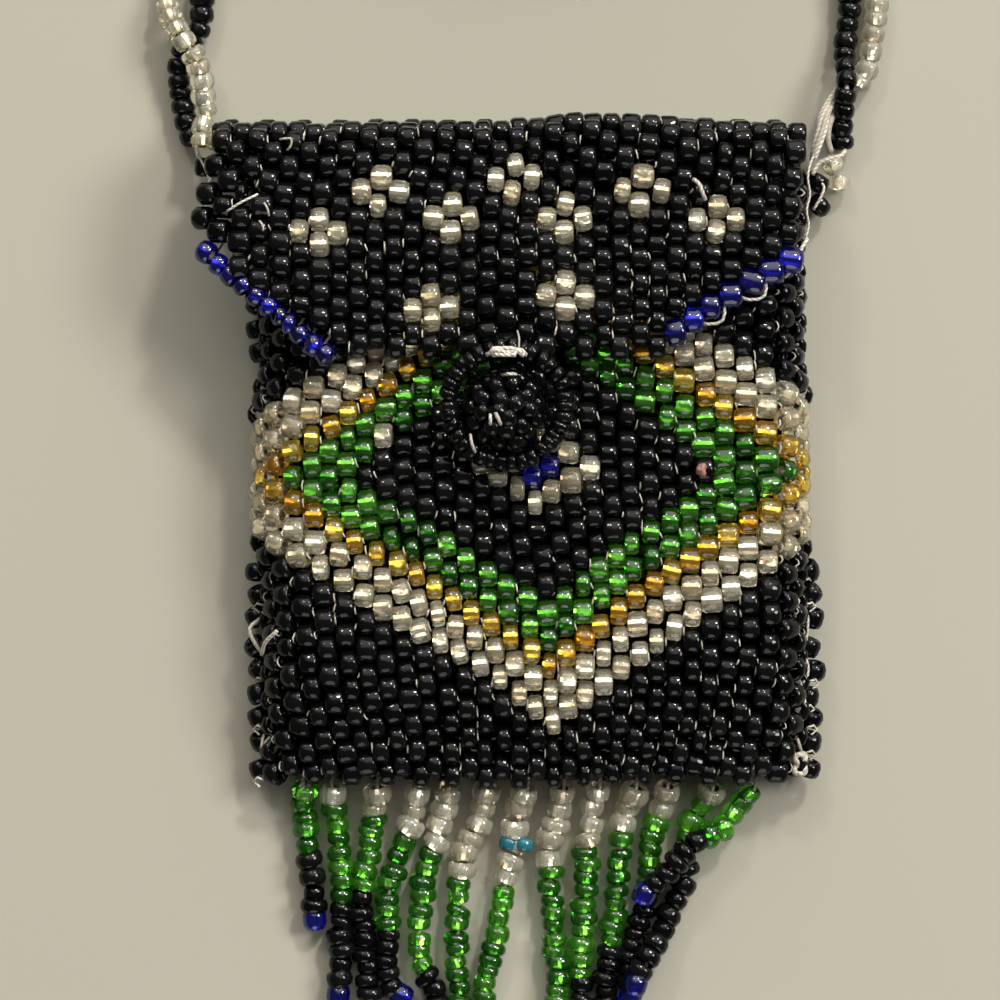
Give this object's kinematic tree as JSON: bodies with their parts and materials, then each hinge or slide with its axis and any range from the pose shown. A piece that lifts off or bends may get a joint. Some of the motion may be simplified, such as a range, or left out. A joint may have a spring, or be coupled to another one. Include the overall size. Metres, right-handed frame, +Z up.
{
  "type": "beaded medicine bag",
  "caption": "Small flat neck pouch woven from glass seed beads, with a fold-over flap, loop and button, bead fringe and a twisted bead strap.",
  "frame": {"origin": "middle of the bag and its fringe, on the surface that the bag's back lies on", "axes": "+Z up out of the bag's front, +Y towards the flap's fold and the strap, +X to the right of the front"},
  "size_m": [0.0629, 0.1377, 0.0133],
  "materials": {
    "jet": "opaque black glass seed beads, glossy",
    "crystal": "clear glass seed beads lined with silver",
    "emerald": "transparent green glass seed beads",
    "gold": "topaz glass seed beads lined with silver",
    "cobalt": "transparent dark blue glass seed beads",
    "turquoise": "transparent turquoise glass seed beads",
    "thread": "off-white waxed beading thread",
    "chip": "dull red-brown grit caught between two beads"
  },
  "bodies": {
    "pouch": {"back_panel": "jet", "front_panel": "jet", "left_edge_beads": "jet", "right_edge_beads": "jet", "button": "jet", "fringe_01": "emerald", "fringe_02": "emerald", "fringe_03": "emerald", "fringe_04": "emerald", "fringe_05": "emerald", "fringe_06": "emerald", "fringe_07": "emerald", "fringe_08": "emerald", "fringe_09": "emerald", "fringe_10": "emerald", "fringe_11": "emerald", "fringe_12": "emerald", "fringe_13": "emerald", "strap_black_left": "jet", "strap_black_right": "jet", "strap_crystal_left": "crystal", "strap_crystal_right": "crystal", "strap_coil_black": "jet", "strap_coil_crystal": "crystal", "strap_knot_left": "jet", "strap_knot_right": "jet"},
    "flap": {"flap": "jet", "flap_edging_left": "cobalt", "flap_edging_right": "cobalt", "closure_loop": "jet"}
  },
  "joints": [
    {"name": "flap_fold", "type": "hinge", "parent": "pouch", "child": "flap", "pos_m": [0, 0.0412, 0.00225], "axis": [-1, 0, 0], "range_deg": [0, 105]}
  ]
}
